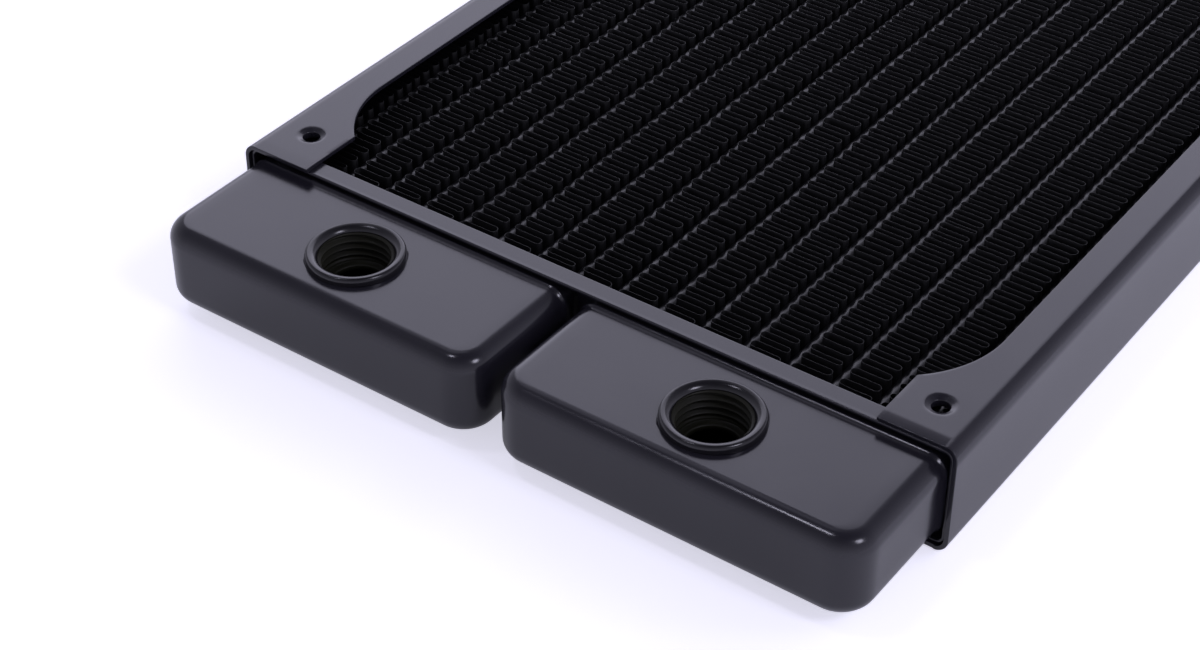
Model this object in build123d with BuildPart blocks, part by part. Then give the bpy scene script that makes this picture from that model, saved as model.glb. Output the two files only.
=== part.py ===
"""Slim liquid cooling radiator for two 140 mm fans.

Flat tubes run along Y between two pressed header trays, with folded fin strips between them.
Two port tanks close the front header, side by side, and one return tank closes the rear one, so
the coolant goes down one half of the tubes and back through the other. A bent side plate on each
long edge wraps the core and carries the fan screws on both faces.

Frame: +Z up, +Y from the ports to the return tank, X across. The origin is at the middle of the
footprint, level with the undersides of the side plates. Millimetres.
"""
import math
import os

from build123d import *

# Fans, side by side along the radiator
fan_size = 140.0
fan_count = 2
screw_edge = 7.75  # from a fan's side to its screws

# Side plates: folded sheet, open towards the core, flush with the fans' sides
frame_height = 20.0
plate_sheet = 0.8
plate_bend = 2.5  # outer radius of the two folds
flange_rail = 7.5  # flange width beside a fan opening
tab_margin = 6.45  # from a screw to the inner edge of its tab
tab_reach = 4.0  # how far a tab runs from its screw into the fan opening
opening_radius = 21.0
plate_end = 8.65  # from the last screw to the end of the plate

# Fan screw holes: M3, in a pressed dimple
screw_hole = 3.0
dimple_width = 5.4
dimple_depth = 0.7

# Header trays
header_setback = 4.3  # from the last screw to the face that meets the fins
header_depth = 3.8
header_sheet = 0.6
header_edge = 0.35  # rounding of the tray's outer edges
lip_length = 0.8  # flared end of the tray's walls
lip_flare = 0.04
lip_round = 0.25  # rounding of the lip, inside and outside
tray_clearance = 0.05  # tray in the side plates

# Tanks
port_reach = 33.2  # from the first screw to the front of the port tanks
return_reach = 22.3  # from the last screw to the back of the return tank
tank_wall = 1.0
tank_inset = 1.8  # from the side plate's outer face to the tank's side
tank_drop = 2.4  # from the flange's outer face to the tank's top or bottom
tank_split = 3.2  # slot between the two port tanks
tank_corner = 3.0  # rounding of the edges round the top and bottom
tank_upright = 6.0  # rounding of the upright edges at the closed end
rim_flare = 0.3  # the rim is this much larger all round
rim_proud = 0.6  # straight part of the rim beyond the tray's mouth
flare_length = 1.7  # from the rim's full size down to the tank's

# Ports: G1/4 threaded inserts
port_spacing = 70.0
port_inset = 12.8  # from the front of the port tanks to the ports
thread_bore = 11.445
thread_depth = 5.1
thread_major = 13.157
mouth_bore = 14.5
mouth_depth = 1.2  # from the collar's crest to the first thread
collar_width = 16.8
collar_height = 1.35
collar_round = 0.45
insert_width = 15.4
ledge_bore = 8.8
ledge_thickness = 1.0
insert_clearance = 0.1

# Core: flat tubes and folded fins
fin_room = 6.6  # between two tubes
fin_drop = 2.6  # from the flange's outer face to the fins
fin_wave = 2.85  # one full fold, along Y
fin_sheet = 0.15
fin_clearance = 0.05
fin_end_gap = 0.4
tube_thickness = 1.5
tube_drop = 1.9  # from the fins' edge to the tube's
tube_wall = 0.35
tube_stub = 0.8  # tube end beyond the header's floor
slot_clearance = 0.05

# Sizes and places that follow from them
frame_width = fan_size
hole_spacing = fan_size - 2 * screw_edge
screw_span = (fan_count - 1) * fan_size + hole_spacing
core_y = (port_reach - return_reach) / 2
first_screw = core_y - screw_span / 2
last_screw = core_y + screw_span / 2
mid_z = frame_height / 2
plate_length = screw_span + 2 * plate_end
flange_tab = screw_edge + tab_margin
tray_width = frame_width - 2 * (plate_sheet + tray_clearance)
tray_height = frame_height - 2 * (plate_sheet + tray_clearance)
tray_corner = plate_bend - plate_sheet
tank_width = frame_width - 2 * tank_inset
tank_height = frame_height - 2 * tank_drop
tank_top = mid_z + tank_height / 2
port_tank_width = (tank_width - tank_split) / 2
port_tank_x = (port_tank_width + tank_split) / 2
port_y = first_screw - port_reach + port_inset
rim_length = header_depth - header_sheet + rim_proud
crest_z = tank_top + collar_height
thread_z = crest_z - mouth_depth
ledge_z = thread_z - thread_depth
core_width = frame_width - 2 * plate_sheet
tube_pitch = fin_room + tube_thickness
tube_pairs = math.floor((core_width - fin_room) / (2 * tube_pitch))  # half to each port tank
tube_count = 2 * tube_pairs
edge_tube_x = (tube_count - 1) * tube_pitch / 2
side_room = core_width / 2 - edge_tube_x - tube_thickness / 2
fin_width = frame_height - 2 * fin_drop
fin_length = screw_span + 2 * (header_setback - fin_end_gap)
tube_width = fin_width - 2 * tube_drop
tube_length = screw_span + 2 * (header_setback + header_sheet + tube_stub)

os.makedirs("parts", exist_ok=True)


def across(y):
    """Plane across the radiator at y, with local x along X and local y along Z."""
    return Plane(origin=(0, y, 0), x_dir=(1, 0, 0), z_dir=(0, -1, 0))


def save(piece, name):
    piece.label = name
    export_step(piece, f"parts/{name}.step")


# ---------------------------------------------------------------- side plates
def screw_places(side):
    """The fan screws of one side plate, in X and Y."""
    rows = []
    for fan in range(fan_count):
        near = first_screw + fan * fan_size
        rows += [near, near + hole_spacing]
    return [(side * hole_spacing / 2, y) for y in rows]


def make_side_plate(side):
    outer_x = side * frame_width / 2
    tab_x = side * (frame_width / 2 - flange_tab)
    rail_x = side * (frame_width / 2 - flange_rail)
    step = flange_tab - flange_rail
    sweep_y = math.sqrt(opening_radius**2 - (opening_radius - step) ** 2)
    with BuildPart() as plate:
        with BuildSketch(across(core_y + plate_length / 2)):
            with Locations((0, mid_z)):
                RectangleRounded(frame_width, frame_height, plate_bend)
                RectangleRounded(
                    frame_width - 2 * plate_sheet,
                    frame_height - 2 * plate_sheet,
                    plate_bend - plate_sheet,
                    mode=Mode.SUBTRACT,
                )
            with Locations(((outer_x + tab_x) / 2, mid_z)):
                Rectangle(flange_tab, frame_height, mode=Mode.INTERSECT)
        extrude(amount=plate_length)
        for fan in range(fan_count):
            near = first_screw + fan * fan_size + tab_reach
            far = near + hole_spacing - 2 * tab_reach
            with BuildSketch(Plane.XY):
                with BuildLine():
                    Line((rail_x, near + sweep_y), (rail_x, far - sweep_y))
                    TangentArc((rail_x, near + sweep_y), (tab_x, near), tangent=(0, -1))
                    TangentArc((rail_x, far - sweep_y), (tab_x, far), tangent=(0, 1))
                    Line((tab_x, near), (tab_x, far))
                make_face()
            extrude(amount=frame_height, mode=Mode.SUBTRACT)
        for x, y in screw_places(side):
            for up in (1, -1):
                face_z = mid_z + up * frame_height / 2
                dimple = Plane(origin=(x, y, face_z), z_dir=(0, 0, -up))
                with BuildSketch(dimple.offset(plate_sheet)):
                    Circle(dimple_width / 2)
                with BuildSketch(dimple.offset(plate_sheet + dimple_depth)):
                    Circle(screw_hole / 2 + plate_sheet / 2)
                loft()
                with BuildSketch(dimple):
                    Circle(dimple_width / 2)
                with BuildSketch(dimple.offset(dimple_depth)):
                    Circle(screw_hole / 2)
                loft(mode=Mode.SUBTRACT)
                with BuildSketch(dimple):
                    Circle(screw_hole / 2)
                extrude(amount=plate_sheet + dimple_depth, mode=Mode.SUBTRACT)
    return plate.part


save(make_side_plate(-1), "left_side_plate")
save(make_side_plate(1), "right_side_plate")


# ---------------------------------------------------------------- header trays
def make_header(end):
    """A tray with its floor against the core and its mouth towards the tanks; end is -1 at the front."""
    screw_y = first_screw if end < 0 else last_screw
    floor_y = screw_y + end * header_setback
    mouth_y = floor_y + end * header_depth
    lip_y = mouth_y - end * lip_length
    with BuildPart() as tray:
        with BuildSketch(across(lip_y)):
            with Locations((0, mid_z)):
                RectangleRounded(
                    tray_width - 2 * lip_flare, tray_height - 2 * lip_flare, tray_corner - lip_flare
                )
        extrude(amount=end * (header_depth - lip_length))
        fillet(tray.faces().sort_by(Axis.Y)[-1 if end < 0 else 0].outer_wire().edges(), header_edge)
        with BuildSketch(across(mouth_y)):
            with Locations((0, mid_z)):
                RectangleRounded(tray_width, tray_height, tray_corner)
        flare_angle = math.degrees(math.atan(lip_flare / lip_length))
        extrude(amount=end * lip_length, taper=flare_angle)
        with BuildSketch(across(mouth_y)):
            with Locations((0, mid_z)):
                RectangleRounded(
                    tray_width - 2 * (lip_flare + header_sheet),
                    tray_height - 2 * (lip_flare + header_sheet),
                    tray_corner - lip_flare - header_sheet,
                )
        extrude(amount=end * (header_depth - header_sheet), mode=Mode.SUBTRACT)
        fillet(tray.faces().sort_by(Axis.Y)[0 if end < 0 else -1].edges(), lip_round)
        with BuildSketch(across(floor_y)):
            with Locations((0, mid_z)):
                with GridLocations(tube_pitch, 0, tube_count, 1):
                    SlotOverall(
                        tube_width + 2 * slot_clearance,
                        tube_thickness + 2 * slot_clearance,
                        rotation=90,
                    )
        extrude(amount=-end * header_sheet, mode=Mode.SUBTRACT)
    return tray.part


save(make_header(-1), "front_header")
save(make_header(1), "rear_header")


# ---------------------------------------------------------------- tanks
def make_drawn_box(end, centre_x, width, height, end_y, rim_y, inset):
    """The tank's body as a block: upright edges rounded at its closed end, then top and bottom."""
    with BuildPart() as block:
        with BuildSketch(Plane.XY.offset(mid_z - height / 2)):
            with Locations((centre_x, (end_y + rim_y) / 2)):
                Rectangle(width, abs(rim_y - end_y))
        extrude(amount=height)
        uprights = block.edges().filter_by(Axis.Z).sort_by(Axis.Y)
        fillet(uprights[:2] if end < 0 else uprights[-2:], tank_upright - inset)
        faces = block.faces().sort_by(Axis.Z)
        rounds = [e for face in (faces[0], faces[-1]) for e in face.edges() if abs(e.center().Y - rim_y) > 0.01]
        fillet(rounds, tank_corner - inset)
    return block.part


def make_tank(end, centre_x, width, reach, port_x=None):
    """A drawn box, open towards its header, with a slightly flared rim that sits in the tray."""
    screw_y = first_screw if end < 0 else last_screw
    rim_y = screw_y + end * (header_setback + header_sheet)
    flare_y = rim_y + end * rim_length
    end_y = screw_y + end * reach
    flare_angle = math.degrees(math.atan(rim_flare / flare_length))
    blocks = [
        make_drawn_box(
            end, centre_x, width - 2 * wall, tank_height - 2 * wall, end_y - end * wall, rim_y, wall
        )
        for wall in (0, tank_wall)
    ]
    with BuildPart() as tank:
        for block, wall, mode in zip(blocks, (0, tank_wall), (Mode.ADD, Mode.SUBTRACT)):
            add(block, mode=mode)
            with BuildSketch(across(flare_y)) as rim:
                with Locations((centre_x, mid_z)):
                    RectangleRounded(
                        width + 2 * (rim_flare - wall),
                        tank_height + 2 * (rim_flare - wall),
                        tank_corner + rim_flare - wall,
                    )
            extrude(amount=end * rim_length, mode=mode)
            extrude(rim.sketch, amount=-end * flare_length, taper=flare_angle, mode=mode)
        if port_x is not None:
            with Locations(Plane(origin=(port_x, port_y, tank_top))):
                Hole(insert_width / 2 + insert_clearance, depth=2 * tank_wall)
    return tank.part


for side, name in ((-1, "left_tank"), (1, "right_tank")):
    port_tank = make_tank(-1, side * port_tank_x, port_tank_width, port_reach, side * port_spacing / 2)
    save(port_tank, name)
save(make_tank(1, 0, tank_width, return_reach), "return_tank")


# ---------------------------------------------------------------- port inserts
def make_port(side):
    """A turned insert: a collar on the tank, a threaded bore and an inner ledge that stops a fitting."""
    place = Plane(
        origin=(side * port_spacing / 2, port_y, 0),
        x_dir=(1, 0, 0),
        z_dir=(0, -1, 0),
    )
    bottom_z = ledge_z - ledge_thickness
    with BuildPart() as port:
        with BuildSketch(place):
            with BuildLine():
                Polyline(
                    (ledge_bore / 2, bottom_z),
                    (insert_width / 2, bottom_z),
                    (insert_width / 2, tank_top),
                    (collar_width / 2, tank_top),
                    (collar_width / 2, crest_z),
                    (mouth_bore / 2, crest_z),
                    (thread_major / 2, thread_z),
                    (thread_bore / 2, thread_z),
                    (thread_bore / 2, ledge_z),
                    (ledge_bore / 2, ledge_z),
                    close=True,
                )
            make_face()
        revolve(axis=Axis(place.origin, (0, 0, 1)))
        crest = port.faces().filter_by(Plane.XY).sort_by(Axis.Z)[-1]
        fillet(crest.outer_wire().edges() + crest.inner_wires().edges(), collar_round)
    return port.part


save(make_port(-1), "left_port")
save(make_port(1), "right_port")


# ---------------------------------------------------------------- core
def make_tube():
    with BuildPart() as tube:
        with BuildSketch(across(core_y + tube_length / 2)):
            with Locations((0, mid_z)):
                SlotOverall(tube_width, tube_thickness, rotation=90)
                SlotOverall(
                    tube_width - 2 * tube_wall,
                    tube_thickness - 2 * tube_wall,
                    rotation=90,
                    mode=Mode.SUBTRACT,
                )
        extrude(amount=tube_length)
    return tube.part


def fold_points(width):
    """Middle line of a folded strip, whose mitred folds reach the full width."""
    fold = fin_wave / 2
    tip = fin_sheet / 2 / math.sin(math.atan(fold / width))
    half = width / 2 - tip
    count = 2 * math.floor(fin_length / fin_wave)
    return [((-1) ** n * half, core_y + (n - count / 2) * fold) for n in range(count + 1)]


def thicken(points, thickness):
    """Outline of a sheet whose middle line is given, with mitred corners."""
    sides = ([], [])
    for i, (x, y) in enumerate(points):
        before = points[max(i - 1, 0)]
        after = points[min(i + 1, len(points) - 1)]
        headings = []
        for a, b in ((before, (x, y)), ((x, y), after)):
            run = math.hypot(b[0] - a[0], b[1] - a[1])
            if run > 0:
                headings.append(((b[0] - a[0]) / run, (b[1] - a[1]) / run))
        sum_x = sum(h[0] for h in headings) / len(headings)
        sum_y = sum(h[1] for h in headings) / len(headings)
        spread = (thickness / 2) / (sum_x**2 + sum_y**2)
        sides[0].append((x - sum_y * spread, y + sum_x * spread))
        sides[1].append((x + sum_y * spread, y - sum_x * spread))
    return sides[0] + sides[1][::-1]


def make_fin(room):
    with BuildPart() as fin:
        with BuildSketch(Plane.XY.offset(mid_z - fin_width / 2)):
            with BuildLine():
                Polyline(*thicken(fold_points(room - 2 * fin_clearance), fin_sheet), close=True)
            make_face()
        extrude(amount=fin_width)
    return fin.part


tube = make_tube()
for n in range(tube_count):
    save(Pos(n * tube_pitch - edge_tube_x, 0, 0) * tube, f"tube_{n + 1:02d}")

inner_fin = make_fin(fin_room)
for n in range(1, tube_count):
    save(Pos((n - 0.5) * tube_pitch - edge_tube_x, 0, 0) * inner_fin, f"fin_{n + 1:02d}")
side_fin = make_fin(side_room)
side_fin_x = (core_width - side_room) / 2
save(Pos(-side_fin_x, 0, 0) * side_fin, "fin_01")
save(Pos(side_fin_x, 0, 0) * side_fin, f"fin_{tube_count + 1:02d}")
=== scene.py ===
"""Looks of a slim liquid cooling radiator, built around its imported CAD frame.

All pieces but the two headers are surfaces worked out with numpy in the frame's own axes: X
across, +Y from the ports to the return tank, +Z up. Sizes are in millimetres, and add_piece()
turns them to metres.
"""

import math

import bpy
import numpy as np
from mathutils import Euler, Matrix, Vector


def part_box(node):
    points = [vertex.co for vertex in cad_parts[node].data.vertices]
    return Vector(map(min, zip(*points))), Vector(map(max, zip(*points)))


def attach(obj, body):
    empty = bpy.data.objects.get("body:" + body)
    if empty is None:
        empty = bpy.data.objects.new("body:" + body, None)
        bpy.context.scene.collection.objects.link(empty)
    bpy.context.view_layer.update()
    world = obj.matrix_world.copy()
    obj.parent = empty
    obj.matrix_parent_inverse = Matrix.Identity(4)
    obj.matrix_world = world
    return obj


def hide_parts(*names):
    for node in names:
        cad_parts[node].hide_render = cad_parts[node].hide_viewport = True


MM = 0.001
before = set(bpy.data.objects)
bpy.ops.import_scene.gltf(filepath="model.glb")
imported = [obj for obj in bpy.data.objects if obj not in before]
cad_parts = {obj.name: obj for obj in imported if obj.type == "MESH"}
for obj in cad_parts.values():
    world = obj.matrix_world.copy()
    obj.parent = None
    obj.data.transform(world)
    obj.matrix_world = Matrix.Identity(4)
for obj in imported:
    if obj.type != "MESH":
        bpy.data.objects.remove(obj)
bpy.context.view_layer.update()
scene = bpy.context.scene

# ---------------------------------------------------------------- sizes in millimetres
# Side plates
PLATE_SHEET = 0.8
PLATE_BEND = 2.5  # outer radius of the folds
SHEARED_EDGE = 0.1  # rounding of the cut edges
FLANGE_RAIL = 7.5  # flange width beside a fan's opening
FLANGE_TAB = 14.2  # flange width at the screws
TAB_REACH = 4.0  # full width beyond a screw, before the opening's arc starts
OPENING_RADIUS = 21.0  # of the arc between tab and rail
SCREW_EDGE = 7.75  # from the plate's outer face to the screws
SCREW_SPACING = 124.5
SCREW_HOLE = 3.0
DIMPLE_WIDTH = 5.5
DIMPLE_DEPTH = 0.44
DIMPLE_LIP = 0.35  # share of the cone's length that is rounded off at its top
DIMPLE_MARGIN = 0.2  # flat sheet round a dimple, inside its window
DIMPLE_CELLS = 10  # along each side of the window
# shares of the way from the hole, 0, to the window's border, 1
DIMPLE_RINGS = (0.84, 0.7, 0.6, 0.52, 0.44, 0.36, 0.28, 0.21, 0.14, 0.07, 0.0, -0.015)
NECK_DEPTH = 1.2  # the screw hole's drawn neck below the dimple
NECK_STEP = 0.01  # the neck's full depth is reached this far inside the hole's edge
LEFT_ROLL = 0.06  # how far the left plate's sheared ends dip
RIGHT_ROLL = 0.18
ROLL_LENGTH = 2.35
RIGHT_SHORT = 0.6  # the right plate's upper flange is sheared off a little shorter
FOLD_SIDE = 0.3  # a flat row of cells beside each fold keeps its shading clean

# Tanks
TANK_EDGE = 3.1  # rounding round the top and bottom
TANK_UPRIGHT = 6.0  # rounding of the upright edges at the end
TANK_WALL = 1.0
RIM_FLARE = 0.3  # how far the skin moves out at the flare's crest
RIM_DEPTH = 3.4  # from the flare's crest to the rim
FLARE_LENGTH = 1.0  # from the flare's start to its crest
CREST_ROLL = 0.14  # drop behind the crest
CREST_LENGTH = 0.45  # over which it drops
PORT_WINDOW = 9.2  # from a port's axis to the border of its window in the top
PORT_CELLS = 24  # along each side of the window
SIDE_CELLS = 10  # on either side of the window
PORT_RINGS = (0.8, 0.6, 0.4, 0.2, 0.0)

# Ports
PORT_HOLE = 15.6
THREAD_MINOR = 11.445  # the three sizes of a G1/4 thread
THREAD_MAJOR = 13.157
THREAD_PITCH = 1.337
THREAD_DEPTH = 5.38
THREAD_START = 0.5  # the cut reaches its full depth within this much
THREAD_END = 0.25  # plain bore left above the ledge
THREAD_ROWS = 60
FUNNEL_ROUND = 1.6  # arc from the crest into the mouth of the thread
FUNNEL_STEEP = math.radians(65)  # its slope at the mouth
COLLAR_HEIGHT = 1.35
COLLAR_LEAN = 0.05  # the collar's radius is this much smaller where the lip starts
COLLAR_SINK = 0.02  # the collar's foot lies this far in the tank's skin
CREST_RADIUS = 7.75
LIP_DROP = 0.75  # from the crest down to the collar's wall
SKIRT_GAP = 0.1  # between the tank's hole and the part of the insert inside it
LEDGE_BORE = 8.8
PORT_ANGLES = 144  # points round the axis

# Core
FIN_WAVE = 2.85  # length of one wave, which is two legs
FIN_SHEET = 0.08  # thickness
FIN_SPREAD = 0.11  # variation of the legs' spacing, as a share
FIN_DRIFT = 0.05  # slow variation of the spacing along a strip, as a share
FIN_DRIFT_LEGS = 12  # legs from one knot of it to the next
FIN_SKIP = 0.25  # extra spacing where the rollers slipped
FIN_SKIP_CHANCE = 0.02
FIN_NARROWEST, FIN_WIDEST = 0.55, 1.6  # limits of the spacing
FIN_OFFSET = 0.03  # how far a whole strip lies off its middle
FIN_RETREAT = 0.06  # how far the folds fall short of the tubes
FIN_BELLY = 0.05  # how far a leg's middle bows
TUBE_WALL = 0.35
TUBE_CAP = 0.6  # height of the rounding on a tube's edges, as a share of half its thickness
TUBE_SWAY = 0.11  # standard deviation at its knots
TUBE_WANDER = 0.22  # limit of the sway
TUBE_SWAY_STEPS = 30  # steps along the tube from one knot of the sway to the next
TUBE_HELD = 2.0  # straight inside the header
TUBE_FREE = 10.0  # from there to the full sway
TUBE_END = 8.0  # finer steps within this much of an end
TUBE_END_CELLS, TUBE_CELLS = 6, 130
FIN_SEED, TUBE_SEED = 100, 500  # of the random draws


def box_mm(node):
    """Lowest and highest corners of a CAD node, in millimetres."""
    low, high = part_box(node)
    return np.array(low) / MM, np.array(high) / MM


def middle_mm(node):
    """Middle of a CAD node's box, in millimetres."""
    low, high = box_mm(node)
    return (low + high) / 2


# ---------------------------------------------------------------- materials
def linear(hex_colour):
    """sRGB hex to linear RGBA."""
    channels = [int(hex_colour[i : i + 2], 16) / 255 for i in (1, 3, 5)]
    return (*[c / 12.92 if c <= 0.04045 else ((c + 0.055) / 1.055) ** 2.4 for c in channels], 1.0)


def add_node(tree, kind, settings=None, inputs=None):
    """Adds a shader node; an input is a value, or the socket that feeds it."""
    node = tree.nodes.new(kind)
    for name, value in (settings or {}).items():
        setattr(node, name, value)
    for name, value in (inputs or {}).items():
        if isinstance(value, bpy.types.NodeSocket):
            tree.links.new(value, node.inputs[name])
        else:
            node.inputs[name].default_value = value
    return node


CLOUD_MM = 14.0  # size of the paint's duller and glossier patches
GLOSS_DRIFT = 0.03  # how far the roughness drifts either way


def black_paint(name, colour, patch_colour, roughness, grain_mm, grain_height_mm, specular=0.5):
    """Sprayed black paint: a dielectric whose grain is small waves in its skin.

    The paint is nearly black by itself. What the eye gets is the pale room in its skin, softened
    by the roughness, so the roughness drifts a little and the skin has a fine orange peel.
    """
    material = bpy.data.materials.new(name)
    material.use_nodes = True
    tree = material.node_tree
    shader = tree.nodes["Principled BSDF"]
    place = add_node(tree, "ShaderNodeTexCoord").outputs["Object"]
    cloud = add_node(
        tree,
        "ShaderNodeTexNoise",
        inputs={"Vector": place, "Scale": 1 / (CLOUD_MM * MM), "Detail": 3.0, "Roughness": 0.55},
    ).outputs["Fac"]
    peel = add_node(
        tree,
        "ShaderNodeTexNoise",
        inputs={"Vector": place, "Scale": 1 / (grain_mm * MM), "Detail": 2.0, "Roughness": 0.5},
    ).outputs["Fac"]
    tint = add_node(
        tree,
        "ShaderNodeMix",
        {"data_type": "RGBA"},
        {"Factor": cloud, "A": linear(colour), "B": linear(patch_colour)},
    )
    gloss = add_node(
        tree,
        "ShaderNodeMapRange",
        inputs={
            "Value": cloud,
            "From Min": 0.3,
            "From Max": 0.7,
            "To Min": roughness - GLOSS_DRIFT,
            "To Max": roughness + GLOSS_DRIFT,
        },
    )
    skin = add_node(
        tree,
        "ShaderNodeBump",
        inputs={"Height": peel, "Strength": 1.0, "Distance": grain_height_mm * MM},
    )
    tree.links.new(tint.outputs["Result"], shader.inputs["Base Color"])
    tree.links.new(gloss.outputs["Result"], shader.inputs["Roughness"])
    tree.links.new(skin.outputs["Normal"], shader.inputs["Normal"])
    shader.inputs["IOR"].default_value = 1.5
    shader.inputs["Specular IOR Level"].default_value = specular
    return material


# Baked powder coat on steel sheet: satin, with a peel about a millimetre across
powder_coat = black_paint(
    "satin_black_powder_coat",
    "#1c1b21",
    "#212027",
    roughness=0.19,
    grain_mm=0.9,
    grain_height_mm=0.001,
)
# Wet-sprayed enamel on the turned inserts: nearly as satin, blacker, with a finer peel
turned_enamel = black_paint(
    "gloss_black_enamel_on_turned_brass",
    "#121115",
    "#161519",
    roughness=0.2,
    grain_mm=0.7,
    grain_height_mm=0.0006,
)
# The spray hardly reaches into the threads: thin and dull, with the brass showing through
thin_coat = black_paint(
    "thin_paint_over_brass_thread",
    "#17170e",
    "#1a1a10",
    roughness=0.5,
    grain_mm=0.5,
    grain_height_mm=0.001,
    specular=0.2,
)
# Thin dip paint on the core: blacker than the coat, with a coarse skin where it pooled. The fins'
# walls get a darker, duller copy of it, as painted shade for the dark between the folds, and their
# upper and lower edges a lighter copy, with the core's colour and a little more sheen than the
# walls.
core_paint = black_paint(
    "thin_black_core_paint",
    "#0b0b0d",
    "#101012",
    roughness=0.3,
    grain_mm=0.6,
    grain_height_mm=0.002,
)
# painted shade: the fins' walls are painted darker than the same paint on the tubes
shaded_fin_wall_paint = black_paint(
    "thin_black_fin_paint_with_painted_shade",
    "#070708",
    "#0b0b0c",
    roughness=0.42,
    grain_mm=0.4,
    grain_height_mm=0.001,
    specular=0.22,
)
# the lit copy of the fin paint: the core's colour on the fins' edges, lighter than the walls
lit_fin_edge_paint = black_paint(
    "thin_black_paint_on_fin_edges_lit_copy",
    "#0b0b0d",
    "#101012",
    roughness=0.35,
    grain_mm=0.4,
    grain_height_mm=0.001,
    specular=0.27,
)


# ---------------------------------------------------------------- mesh tools
def grid_faces(rows, columns, join_rows=False, join_columns=False):
    """Four-cornered faces of a grid of points, whose last row or column may join its first."""
    row = np.arange(rows if join_rows else rows - 1)[:, None]
    column = np.arange(columns if join_columns else columns - 1)[None, :]
    row_next, column_next = (row + 1) % rows, (column + 1) % columns
    corners = (
        row * columns + column,
        row * columns + column_next,
        row_next * columns + column_next,
        row_next * columns + column,
    )
    return np.stack(corners, axis=-1).reshape(-1, 4)


def runs(*stations):
    """Even steps between stations: a value, then the cells to the next value, and so on."""
    parts = [
        np.linspace(stations[i], stations[i + 2], stations[i + 1], endpoint=False)
        for i in range(0, len(stations) - 1, 2)
    ]
    return np.concatenate(parts + [[stations[-1]]])


def round_hole(points, faces, columns, window, centre, radii, drop):
    """Cuts a window out of a flat part of a grid and fills it with rings down to a round hole.

    A ring's share s runs from 1 on the window's border to 0 on the hole, and its points lie on
    straight rays from the hole's centre, at radius hole + s * (border - hole). drop(radius) is
    added to their height.
    """
    hole, shares = radii
    row_0, row_1, column_0, column_1 = window
    row_run, column_run = np.arange(row_0, row_1), np.arange(column_0, column_1)
    border = np.concatenate(
        [
            row_0 * columns + column_run,
            row_run * columns + column_1,
            row_1 * columns + column_run[::-1] + 1,
            (row_run[::-1] + 1) * columns + column_0,
        ]
    )
    face_row, face_column = faces[:, 0] // columns, faces[:, 0] % columns
    inside = (face_row >= row_0) & (face_row < row_1)
    inside &= (face_column >= column_0) & (face_column < column_1) & (faces[:, 0] < len(points))
    ray = points[border, :2] - centre
    reach = np.hypot(ray[:, 0], ray[:, 1])
    radius = hole + np.asarray(shares)[:, None] * (reach - hole)[None, :]
    ring_xy = centre + ray[None] * (radius / reach)[..., None]
    ring_z = points[border, 2][None, :] + drop(radius)
    ring = np.concatenate([ring_xy, ring_z[..., None]], axis=-1)
    first = len(points)
    count = len(border)
    inner = first + np.arange(ring[..., 0].size).reshape(-1, count)
    rings = np.concatenate([border[None], inner])
    step = (np.arange(count) + 1) % count
    patch = np.stack([rings[:-1], rings[:-1][:, step], rings[1:][:, step], rings[1:]], axis=-1)
    points = np.concatenate([points, ring.reshape(-1, 3)])
    return points, np.concatenate([faces[~inside], patch.reshape(-1, 4)])


def add_piece(name, points, faces, material, slot, *stands_for):
    """Makes the mesh in metres, with its place in it, and rides it on the frame."""
    mesh = bpy.data.meshes.new(name)
    mesh.from_pydata((points * MM).tolist(), [], list(map(list, faces)))
    mesh.shade_smooth()
    mesh.materials.append(material)
    piece = bpy.data.objects.new(name, mesh)
    scene.collection.objects.link(piece)
    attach(piece, "root")
    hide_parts(*stands_for)
    return piece


def thicken(piece, wall_mm, edge_mm=0.0):
    """Gives a skin its wall, inwards, and rounds the cut edges where edge_mm is given."""
    wall = piece.modifiers.new("wall", "SOLIDIFY")
    wall.thickness = wall_mm * MM
    wall.offset = -1
    wall.use_even_offset = True
    if edge_mm:
        edge = piece.modifiers.new("edge", "BEVEL")
        edge.width = edge_mm * MM
        edge.segments = 2
        edge.limit_method = "ANGLE"
        edge.angle_limit = math.radians(50)
        shading = piece.modifiers.new("shading", "WEIGHTED_NORMAL")
        shading.weight = 80


# ---------------------------------------------------------------- side plates
# how far along Y the arc between tab and rail reaches
ARC_REACH = math.sqrt(OPENING_RADIUS**2 - (OPENING_RADIUS - (FLANGE_TAB - FLANGE_RAIL)) ** 2)


def opening_edge(y, screws):
    """Flange width along Y: the tab at the screws, an arc, then the narrow rail beside the fan.

    Into the opening by t, the arc's width is rail + R - sqrt(R^2 - (reach - t)^2).
    """
    width = np.full_like(y, FLANGE_TAB)
    for near, far in screws:
        into = (far - near) / 2 - TAB_REACH - np.abs(y - (near + far) / 2)
        left = ARC_REACH - np.clip(into, 0, ARC_REACH)
        arc = FLANGE_RAIL + OPENING_RADIUS - np.sqrt(OPENING_RADIUS**2 - left**2)
        width = np.minimum(width, arc)
    return width


def dimple(radius):
    """Depth at a radius: a cone down to the screw hole, rounded at its top, then a steep neck.

    With t the share of the way in, the cone's depth grows as t^2 / 2L up to the lip's share L and
    as t - L / 2 beyond it, scaled to reach the dimple's depth at the hole.
    """
    rim, hole = DIMPLE_WIDTH / 2, SCREW_HOLE / 2
    t = np.clip((rim - radius) / (rim - hole), 0, 1)
    cone = np.where(t < DIMPLE_LIP, t**2 / (2 * DIMPLE_LIP), t - DIMPLE_LIP / 2)
    neck = np.clip((hole - radius) / NECK_STEP, 0, 1)
    return DIMPLE_DEPTH * cone / (1 - DIMPLE_LIP / 2) + NECK_DEPTH * neck


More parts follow.
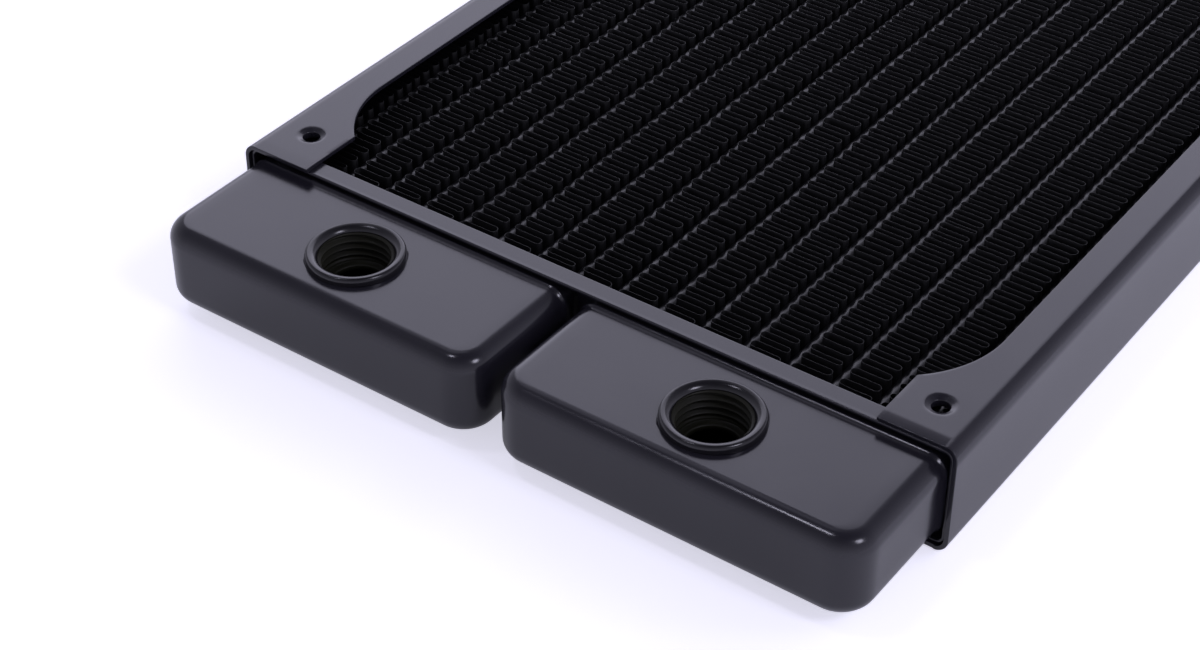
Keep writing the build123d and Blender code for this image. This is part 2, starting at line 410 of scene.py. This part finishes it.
def make_side_plate(node, side, dip):
    """A channel section carried along Y.

    Across, it runs from the upper flange's free edge over the fold, down the side and back under.
    Along Y the flange's width changes, its height falls off evenly towards the sheared ends by the
    dip, and the right plate's upper flange stops a little short. A fold at the angle a lies
    R (1 - sin a) in from the side and R (1 - cos a) below the flange.
    """
    low, high = box_mm(node)
    outer = max(abs(low[0]), abs(high[0]))
    mid_y = (low[1] + high[1]) / 2
    fan = 2 * SCREW_EDGE + SCREW_SPACING
    screws = [
        (mid_y + k * fan - SCREW_SPACING / 2, mid_y + k * fan + SCREW_SPACING / 2)
        for k in (-0.5, 0.5)
    ]
    half, cells = DIMPLE_WIDTH / 2 + DIMPLE_MARGIN, DIMPLE_CELLS
    stations = [low[1], 1, low[1] + ROLL_LENGTH, 5]
    for near, far in screws:
        arc_start, arc_end = near + TAB_REACH, near + TAB_REACH + ARC_REACH
        stations += [near - half, cells, near + half, 1, arc_start, 26, arc_end, 22]
        arc_start, arc_end = far - TAB_REACH - ARC_REACH, far - TAB_REACH
        stations += [arc_start, 26, arc_end, 1, far - half, cells, far + half, 7]
    stations[-1:] = [5, high[1] - ROLL_LENGTH, 1, high[1]]
    y = runs(*stations)

    # the section: flange, fold, side, fold, flange
    edge_cells = 4
    window = [SCREW_EDGE + half, cells, SCREW_EDGE - half]
    tab = runs(FLANGE_TAB, edge_cells, *window, 3, PLATE_BEND + FOLD_SIDE, 1, PLATE_BEND)
    share = (tab - PLATE_BEND) / (FLANGE_TAB - PLATE_BEND)
    turn = np.radians(np.linspace(0, 90, 11))[1:-1]
    top, bottom = high[2], low[2]
    side_top, side_bottom = top - PLATE_BEND, bottom + PLATE_BEND
    wall = runs(side_top, 1, side_top - FOLD_SIDE, 8, side_bottom + FOLD_SIDE, 1, side_bottom)
    flange = opening_edge(y, screws)[:, None] * share + PLATE_BEND * (1 - share)
    fold_in = PLATE_BEND * (1 - np.sin(turn))
    fold_z = PLATE_BEND * (1 - np.cos(turn))
    row = np.ones((len(y), 1))
    inset = np.hstack(
        [flange, row * fold_in, row * np.zeros(len(wall)), row * fold_in[::-1], flange[:, ::-1]]
    )
    level = np.ones(len(tab))
    height = np.concatenate(
        [level * top, top - fold_z, wall, bottom + fold_z[::-1], level * bottom]
    )
    columns = len(height)
    height = np.repeat(height[None], len(y), axis=0)
    y_all = np.repeat(y[:, None], columns, axis=1)

    # the sheared ends
    roll = dip * np.clip(1 - np.minimum(y - low[1], high[1] - y) / ROLL_LENGTH, 0, 1)
    column = np.arange(columns)
    upper, under = column < len(tab), column >= columns - len(tab)
    height += roll[:, None] * (under.astype(float) - upper)
    if side > 0:
        rest = np.zeros(columns - len(tab) - len(turn))
        share_up = np.concatenate([level, np.cos(turn), rest])
        from_end = np.clip(1 - (y - low[1]) / ROLL_LENGTH, 0, 1)[:, None]
        y_all += RIGHT_SHORT * share_up * from_end
    points = np.stack([side * (outer - inset), y_all, height], axis=-1).reshape(-1, 3)
    faces = grid_faces(len(y), columns)

    for first_column, up in ((edge_cells, 1), (columns - 1 - edge_cells - cells, -1)):
        for screw in [s for pair in screws for s in pair]:
            first_row = int(np.argmin(np.abs(y - (screw - half))))
            points, faces = round_hole(
                points,
                faces,
                columns,
                (first_row, first_row + cells, first_column, first_column + cells),
                np.array([side * (outer - SCREW_EDGE), screw]),
                (SCREW_HOLE / 2, DIMPLE_RINGS),
                lambda radius, up=up: -up * dimple(radius),
            )
    if side < 0:
        faces = faces[:, ::-1]
    plate = add_piece(node + "_sheet", points, faces, powder_coat, "black_paint", node)
    thicken(plate, PLATE_SHEET, SHEARED_EDGE)


make_side_plate("left_side_plate", -1, LEFT_ROLL)
make_side_plate("right_side_plate", 1, RIGHT_ROLL)


# ---------------------------------------------------------------- tanks
def make_tank(node, end, port=None):
    """A drawn box: two flats joined by a U-shaped band, open towards the header.

    At the depth d behind the end, a flat's half width is w - U + sqrt((U - e)^2 - (U - d)^2) in
    the upright corners and w - e beyond them, for the edge rounding e and the upright rounding U.
    From each point of the flat's border the band runs outwards by e sin(a) and down by
    e (1 - cos(a)), then straight down. Towards the rim the skin moves out along its section's
    normal with the square of the way to a crest, and behind the crest it falls off likewise.
    """
    low, high = box_mm(node)
    mid = (low + high) / 2
    end_y = low[1] if end < 0 else high[1]
    half_w = (high[0] - low[0]) / 2 - RIM_FLARE
    half_h = (high[2] - low[2]) / 2 - RIM_FLARE
    depth = high[1] - low[1]
    crest = depth - RIM_DEPTH
    inner, straight = TANK_UPRIGHT - TANK_EDGE, half_w - TANK_UPRIGHT

    # rows of a flat, from its front border to the rim, and its columns
    sweep = np.radians(np.linspace(0, 90, 15))
    behind = [crest - FLARE_LENGTH, 10, crest, 8, crest + CREST_LENGTH, 2, depth]
    if port is not None:
        port_d, offset = abs(port[1] - end_y), port[0] - mid[0]
        back = runs(TANK_UPRIGHT, 21, port_d + PORT_WINDOW, 3, *behind)
        window = [offset - PORT_WINDOW, PORT_CELLS, offset + PORT_WINDOW]
        across = runs(-straight, SIDE_CELLS, *window, SIDE_CELLS, straight)
    else:
        back = runs(TANK_UPRIGHT, 10, *behind)
        across = np.linspace(-straight, straight, 61)
    d = np.concatenate([TANK_UPRIGHT - inner * np.cos(sweep[:-1]), back])
    turn = np.concatenate([sweep, np.full(len(back) - 1, math.pi / 2)])
    border = straight + inner * np.sin(turn)
    rows, columns = len(d), len(across)
    flat_x = border[:, None] * across[None, :] / straight
    flat_d = np.repeat(d[:, None], columns, axis=1)

    # the band: along the left side, round the front, along the right side
    left, right = np.arange(rows - 1, 0, -1) * columns, np.arange(1, rows) * columns + columns - 1
    station = np.concatenate([left, np.arange(columns), right])
    way_x = np.concatenate([-np.sin(turn[:0:-1]), np.zeros(columns), np.sin(turn[1:])])
    way_d = -np.concatenate([np.cos(turn[:0:-1]), np.ones(columns), np.cos(turn[1:])])
    bend = np.radians(np.linspace(0, 90, 13))[1:]
    wall_z = np.linspace(half_h - TANK_EDGE, TANK_EDGE - half_h, 6)[1:-1]
    out = TANK_EDGE * np.concatenate([np.sin(bend), np.ones(len(wall_z)), np.sin(bend[::-1])])
    drop = TANK_EDGE * (1 - np.cos(bend))
    band_z = np.concatenate([half_h - drop, wall_z, drop[::-1] - half_h])
    up = np.concatenate([np.cos(bend), np.zeros(len(wall_z)), -np.cos(bend[::-1])])
    band_x = flat_x.ravel()[station][:, None] + way_x[:, None] * out
    band_d = flat_d.ravel()[station][:, None] + way_d[:, None] * out

    x = np.concatenate([flat_x.ravel(), flat_x.ravel(), band_x.ravel()])
    d_all = np.concatenate([flat_d.ravel(), flat_d.ravel(), band_d.ravel()])
    flat = np.ones(rows * columns)
    z = np.concatenate([flat * half_h, -flat * half_h, np.tile(band_z, len(station))])
    lean_x = np.concatenate([0 * flat, 0 * flat, (way_x[:, None] * np.sqrt(1 - up**2)).ravel()])
    lean_z = np.concatenate([flat, -flat, np.tile(up, len(station))])
    flare = RIM_FLARE * np.clip((d_all - crest + FLARE_LENGTH) / FLARE_LENGTH, 0, 1) ** 2
    flare -= CREST_ROLL * np.clip((d_all - crest) / CREST_LENGTH, 0, 1) ** 2
    x, z = x + flare * lean_x + mid[0], z + flare * lean_z + mid[2]
    points = np.stack([x, end_y - end * d_all, z], axis=-1)

    # faces: upper flat, lower flat, band
    upper = grid_faces(rows, columns)
    size = rows * columns
    strip = np.concatenate(
        [
            station[:, None],
            2 * size + np.arange(len(station) * len(band_z)).reshape(len(station), -1),
            size + station[:, None],
        ],
        axis=1,
    )
    band = np.stack([strip[:-1, :-1], strip[:-1, 1:], strip[1:, 1:], strip[1:, :-1]], axis=-1)
    faces = np.concatenate([upper, size + upper[:, ::-1], band.reshape(-1, 4)])
    if port is not None:
        row_0 = int(np.argmin(np.abs(d - (port_d - PORT_WINDOW))))
        row_1 = int(np.argmin(np.abs(d - (port_d + PORT_WINDOW))))
        points, faces = round_hole(
            points,
            faces,
            columns,
            (row_0, row_1, SIDE_CELLS, SIDE_CELLS + PORT_CELLS),
            np.array(port[:2]),
            (PORT_HOLE / 2, PORT_RINGS),
            np.zeros_like,
        )
    if end > 0:
        faces = faces[:, ::-1]
    tank = add_piece(node + "_shell", points, faces, powder_coat, "black_paint", node)
    thicken(tank, TANK_WALL)


make_tank("left_tank", -1, middle_mm("left_port"))
make_tank("right_tank", -1, middle_mm("right_port"))
make_tank("return_tank", 1)


# ---------------------------------------------------------------- ports
def make_port(node):
    """A turned insert: a profile carried round the port's axis.

    Outside, the crest falls off as a quarter of an ellipse to the collar's wall. Inside, it rounds
    over as an arc that grows steeper down to the mouth of the thread.

    In the bore the radius rises and falls once in each pitch, and the phase turns with the angle,
    which makes the thread a helix. It reaches its full depth soon below the mouth, and fades out
    over its last turn.
    """
    low, high = box_mm(node)
    centre = (low + high) / 2
    crest, bottom = high[2], low[2]
    collar = (high[0] - low[0]) / 2
    base = crest - COLLAR_HEIGHT
    mouth = CREST_RADIUS - FUNNEL_ROUND * math.sin(FUNNEL_STEEP)
    thread_top = crest - FUNNEL_ROUND * (1 - math.cos(FUNNEL_STEEP))
    ledge = thread_top - THREAD_DEPTH
    bore, ledge_r = THREAD_MINOR / 2, LEDGE_BORE / 2
    skirt, foot = PORT_HOLE / 2 - SKIRT_GAP, base - COLLAR_SINK

    # the profile as radius and height, from the insert's lower end up, over the crest and down;
    # points set close beside a corner keep its shading crisp
    profile = [(skirt, bottom), (skirt, base - 0.3), (skirt, foot), (collar, foot)]
    profile += [(collar, base + 0.1)]
    lip = collar - COLLAR_LEAN - CREST_RADIUS
    for a in np.linspace(0, math.pi / 2, 12):
        profile += [(CREST_RADIUS + lip * math.cos(a), crest - LIP_DROP * (1 - math.sin(a)))]
    for a in np.linspace(0, FUNNEL_STEEP, 15)[1:]:
        inwards, down = FUNNEL_ROUND * math.sin(a), FUNNEL_ROUND * (1 - math.cos(a))
        profile += [(CREST_RADIUS - inwards, crest - down)]
    first_thread = len(profile)
    profile += [(bore, z) for z in np.linspace(thread_top, ledge + THREAD_END, THREAD_ROWS)]
    last_thread = len(profile)
    # the ledge, with the edge of its own bore broken
    profile += [(bore, ledge + 0.05), (bore - 0.05, ledge), (ledge_r + 0.35, ledge)]
    profile += [(ledge_r + 0.1, ledge - 0.06), (ledge_r, ledge - 0.2), (ledge_r, bottom)]
    profile = np.array(profile)

    angle = np.linspace(0, 2 * math.pi, PORT_ANGLES, endpoint=False)
    radius = np.repeat(profile[:, 0][None], len(angle), axis=0)
    z = np.repeat(profile[:, 1][None], len(angle), axis=0)
    cut = slice(first_thread, last_thread)
    way = (thread_top - z[:, cut]) / THREAD_PITCH + angle[:, None] / (2 * math.pi)
    ridge = np.abs(2 * (way % 1) - 1)  # 1 at the root of the cut, 0 at its crest
    ridge = np.clip(1.25 * ridge - 0.125, 0, 1)  # both truncated by a tenth
    fade = np.clip((z[:, cut] - ledge - THREAD_END) / THREAD_PITCH, 0, 1)
    radius[:, cut] += (THREAD_MAJOR - THREAD_MINOR) / 2 * ridge * fade
    below = np.clip((thread_top - z[:, cut]) / THREAD_START, 0, 1)
    radius[:, cut] = mouth * (1 - below) + radius[:, cut] * below
    x = centre[0] + radius * np.cos(angle)[:, None]
    y = centre[1] + radius * np.sin(angle)[:, None]
    points = np.stack([x, y, z], axis=-1).reshape(-1, 3)
    faces = grid_faces(len(angle), len(profile), join_rows=True, join_columns=True)
    insert = add_piece(node + "_insert", points, faces, turned_enamel, "gloss_paint", node)
    insert.data.materials.append(thin_coat)
    in_bore = faces[:, 0] % len(profile) >= first_thread - 1
    insert.data.polygons.foreach_set("material_index", in_bore.astype(int))


make_port("left_port")
make_port("right_port")


# ---------------------------------------------------------------- core
def smooth_noise(rng, count, spacing):
    """Random values at even knots, joined by smooth steps; count samples, spacing to a knot."""
    knots = rng.normal(size=int(count / spacing) + 3)
    place = np.arange(count) / spacing
    knot = place.astype(int)
    t = place - knot
    t = t * t * (3 - 2 * t)
    return knots[knot] * (1 - t) + knots[knot + 1] * t


def make_fin(node, number):
    """A folded strip: straight legs across, joined by half circles, alternately left and right.

    Leg i lies at y_i, and the spacing of the y_i varies a little, as on strip folded by toothed
    rollers. The half circle between two legs has half their spacing as its radius and reaches a
    slightly varying width. The sheet's section, with rounded upper and lower edges, is carried
    along that line.
    """
    rng = np.random.default_rng(FIN_SEED + number)
    low, high = box_mm(node)
    legs = 2 * int((high[1] - low[1]) / FIN_WAVE)
    spacing = 1 + FIN_SPREAD * rng.normal(size=legs)
    spacing += FIN_SKIP * (rng.uniform(size=legs) < FIN_SKIP_CHANCE)
    spacing *= 1 + FIN_DRIFT * smooth_noise(rng, legs, FIN_DRIFT_LEGS)
    spacing = np.clip(spacing, FIN_NARROWEST, FIN_WIDEST)
    leg_y = np.concatenate([[0], np.cumsum(spacing)])
    leg_y = low[1] + FIN_SHEET + leg_y * (high[1] - low[1] - 2 * FIN_SHEET) / leg_y[-1]
    radius = np.diff(leg_y) / 2
    side = np.where(np.arange(legs) % 2 == number % 2, 1.0, -1.0)
    centre_x = (low[0] + high[0]) / 2 + FIN_OFFSET * rng.normal()
    reach = (high[0] - low[0]) / 2 - FIN_SHEET / 2
    retreat = FIN_RETREAT * np.abs(rng.normal(size=legs))
    turn_x = centre_x + side * (reach - radius - retreat)
    angle = np.radians(np.linspace(-90, 90, 11))
    bend_x = turn_x[:, None] + side[:, None] * radius[:, None] * np.cos(angle)
    bend_y = (leg_y[:-1] + radius)[:, None] + radius[:, None] * np.sin(angle)
    # one point in the middle of each leg lets the strip belly a little
    middle_x = (turn_x[:-1] + turn_x[1:]) / 2
    middle_y = leg_y[1:-1] + FIN_BELLY * rng.normal(size=legs - 1)
    x = np.concatenate([bend_x[:-1], middle_x[:, None]], axis=1).ravel()
    y = np.concatenate([bend_y[:-1], middle_y[:, None]], axis=1).ravel()
    x, y = np.concatenate([x, bend_x[-1]]), np.concatenate([y, bend_y[-1]])
    count = len(x)
    along = np.stack([np.gradient(x), np.gradient(y)], axis=-1)
    along /= np.linalg.norm(along, axis=1)[:, None]
    normal = np.stack([-along[:, 1], along[:, 0]], axis=-1)
    half, soft = FIN_SHEET / 2, FIN_SHEET / 4
    under, over = low[2], high[2]
    section = [(-half, under + soft), (-half, over - soft), (-soft, over), (soft, over)]
    section += [(half, over - soft), (half, under + soft), (soft, under), (-soft, under)]
    section = np.array(section)
    flat = np.stack([x, y], axis=-1)[:, None, :] + normal[:, None, :] * section[None, :, :1]
    points = np.concatenate([flat, np.repeat(section[None, :, 1:], count, axis=0)], axis=-1)
    faces = grid_faces(count, len(section), join_columns=True)
    ends = np.array([[0, 1, 2, 3], [0, 3, 4, 7], [4, 5, 6, 7]])
    ends = np.concatenate([ends, (count - 1) * len(section) + ends[:, ::-1]])
    faces = np.concatenate([faces, ends])
    # the walls take the darker copy of the paint (painted shade), the edges the lighter, lit copy
    strip = add_piece(node + "_strip", points.reshape(-1, 3), faces, shaded_fin_wall_paint, "core_paint", node)
    strip.data.materials.append(lit_fin_edge_paint)
    on_edge = np.isin(faces[:, 0] % len(section), (1, 2, 3, 5, 6, 7))  # all but the two walls
    strip.data.polygons.foreach_set("material_index", on_edge.astype(int))


def make_tube(node, number):
    """A flat tube: two straight walls joined by half ellipses, carried along Y.

    It sways a little between its headers, by smooth noise that fades out towards both ends.
    """
    rng = np.random.default_rng(TUBE_SEED + number)
    low, high = box_mm(node)
    radius = (high[0] - low[0]) / 2
    middle = [low[1] + TUBE_END, TUBE_CELLS, high[1] - TUBE_END]
    y = runs(low[1], TUBE_END_CELLS, *middle, TUBE_END_CELLS, high[1])
    from_end = np.minimum(y - low[1], high[1] - y)
    away = np.clip((from_end - TUBE_HELD) / TUBE_FREE, 0, 1)
    sway = TUBE_SWAY * smooth_noise(rng, len(y), TUBE_SWAY_STEPS) * away
    turn = np.radians(np.linspace(0, 180, 17))
    cap = TUBE_CAP * radius
    mid_z = (high[2] + low[2]) / 2
    rise = (high[2] - low[2]) / 2 - cap + cap * np.sin(turn)
    x = np.concatenate([radius * np.cos(turn), -radius * np.cos(turn)])
    z = np.concatenate([mid_z + rise, mid_z - rise])
    centre_x = (low[0] + high[0]) / 2 + np.clip(sway, -TUBE_WANDER, TUBE_WANDER)
    points = np.stack(
        [
            centre_x[:, None] + x[None],
            np.repeat(y[:, None], len(x), axis=1),
            np.repeat(z[None], len(y), axis=0),
        ],
        axis=-1,
    )
    faces = grid_faces(len(y), len(x), join_columns=True)
    tube = add_piece(node + "_skin", points.reshape(-1, 3), faces, core_paint, "core_paint", node)
    thicken(tube, TUBE_WALL)


tubes = sorted(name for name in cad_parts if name.startswith("tube_"))
fins = sorted(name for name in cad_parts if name.startswith("fin_"))
for number, node in enumerate(tubes):
    make_tube(node, number)
for number, node in enumerate(fins):
    make_fin(node, number)

# ---------------------------------------------------------------- headers keep their CAD shape
for node in ("front_header", "rear_header"):
    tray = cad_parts[node]
    tray.data.materials.clear()
    tray.data.materials.append(powder_coat)

# ---------------------------------------------------------------- floor
FLOOR_REACH = 3.0  # metres to each side
CARD_SEEN = 0.64  # glow of the table where it is looked at, so that it comes out white
CARD_MIRRORED = 0.26  # and where the paint mirrors it
floor_mesh = bpy.data.meshes.new("table_top")
corners = [(FLOOR_REACH * x, FLOOR_REACH * y, 0) for x, y in ((-1, -1), (1, -1), (1, 1), (-1, 1))]
floor_mesh.from_pydata(corners, [], [(0, 1, 2, 3)])
floor = bpy.data.objects.new("table_top", floor_mesh)
scene.collection.objects.link(floor)
white_card = bpy.data.materials.new("matt_white_card")
white_card.use_nodes = True
tree = white_card.node_tree
card = tree.nodes["Principled BSDF"]
card.inputs["Base Color"].default_value = linear("#f0f0f4")
card.inputs["Roughness"].default_value = 0.9
card.inputs["Specular IOR Level"].default_value = 0.0
card.inputs["Emission Color"].default_value = linear("#f2f1ff")
rays = add_node(tree, "ShaderNodeLightPath").outputs
seen = add_node(
    tree,
    "ShaderNodeMath",
    {"operation": "MULTIPLY"},
    {0: rays["Is Camera Ray"], 1: CARD_SEEN},
)
lift = add_node(
    tree,
    "ShaderNodeMath",
    {"operation": "MULTIPLY_ADD"},
    {0: rays["Is Glossy Ray"], 1: CARD_MIRRORED, 2: seen.outputs[0]},
)
tree.links.new(lift.outputs[0], card.inputs["Emission Strength"])
floor_mesh.materials.append(white_card)


# ---------------------------------------------------------------- light
ROOM_TINT = "#ebe9ff"  # a cool white
ROOM_OVERHEAD, ROOM_HORIZON = 0.08, 0.95  # the room is brighter near the horizon


def soft_box(name, direction, distance, size, radiance):
    """A flat lamp of even radiance that faces the radiator; size is across and up, in metres."""
    lamp = bpy.data.lights.new(name, "AREA")
    lamp.shape = "RECTANGLE"
    lamp.size, lamp.size_y = size
    lamp.energy = radiance * math.pi * size[0] * size[1]
    lamp.color = linear(ROOM_TINT)[:3]
    holder = bpy.data.objects.new(name, lamp)
    scene.collection.objects.link(holder)
    way = Vector(direction).normalized()
    holder.location = way * distance
    holder.rotation_euler = way.to_track_quat("Z", "Y").to_euler()
    return holder


soft_box("back_left_soft_box", (-0.521, 0.692, 0.5), 1.6, (1.44, 1.12), 1.72)
soft_box("overhead_lamp", (-0.286, -0.246, 0.926), 1.54, (0.15, 0.15), 21.0)
soft_box("ceiling_panel", (-0.43, 0.25, 0.87), 1.5, (0.5, 0.45), 0.5)
soft_box("right_lamp", (0.68, -0.12, 0.72), 1.5, (0.36, 0.36), 11.0)
# a near lamp lights the table on the right, and its own reflection is switched off
right_fill = soft_box("right_fill", (0.75, 0.5, 0.45), 0.5, (0.4, 0.4), 2.3)
right_fill.visible_glossy = False

world = bpy.data.worlds.new("pale_room")
scene.world = world
world.use_nodes = True
sky = world.node_tree
look = add_node(sky, "ShaderNodeNewGeometry")
split = add_node(sky, "ShaderNodeSeparateXYZ", inputs={0: look.outputs["Incoming"]})
room = add_node(
    sky,
    "ShaderNodeMapRange",
    inputs={
        "Value": split.outputs["Z"],
        "From Min": -1.0,
        "From Max": 0.0,
        "To Min": ROOM_OVERHEAD,
        "To Max": ROOM_HORIZON,
    },
)
background = sky.nodes["Background"]
background.inputs["Color"].default_value = linear(ROOM_TINT)
sky.links.new(room.outputs["Result"], background.inputs["Strength"])
scene.view_settings.view_transform = "Standard"

# ---------------------------------------------------------------- camera
CAMERA_PLACE = (183.32, -382.83, 250.71)
LOOK_DOWN, HEADING, ROLL = math.radians(37.78), math.radians(35.69), math.radians(0.17)
camera_data = bpy.data.cameras.new("camera")
camera_data.sensor_width = 36.0
camera_data.lens = 72.58
camera = bpy.data.objects.new("camera", camera_data)
scene.collection.objects.link(camera)
camera.location = Vector(CAMERA_PLACE) * MM
level = Euler((math.pi / 2 - LOOK_DOWN, 0, HEADING)).to_matrix()
camera.rotation_euler = (level @ Matrix.Rotation(ROLL, 3, "Z")).to_euler()
scene.camera = camera
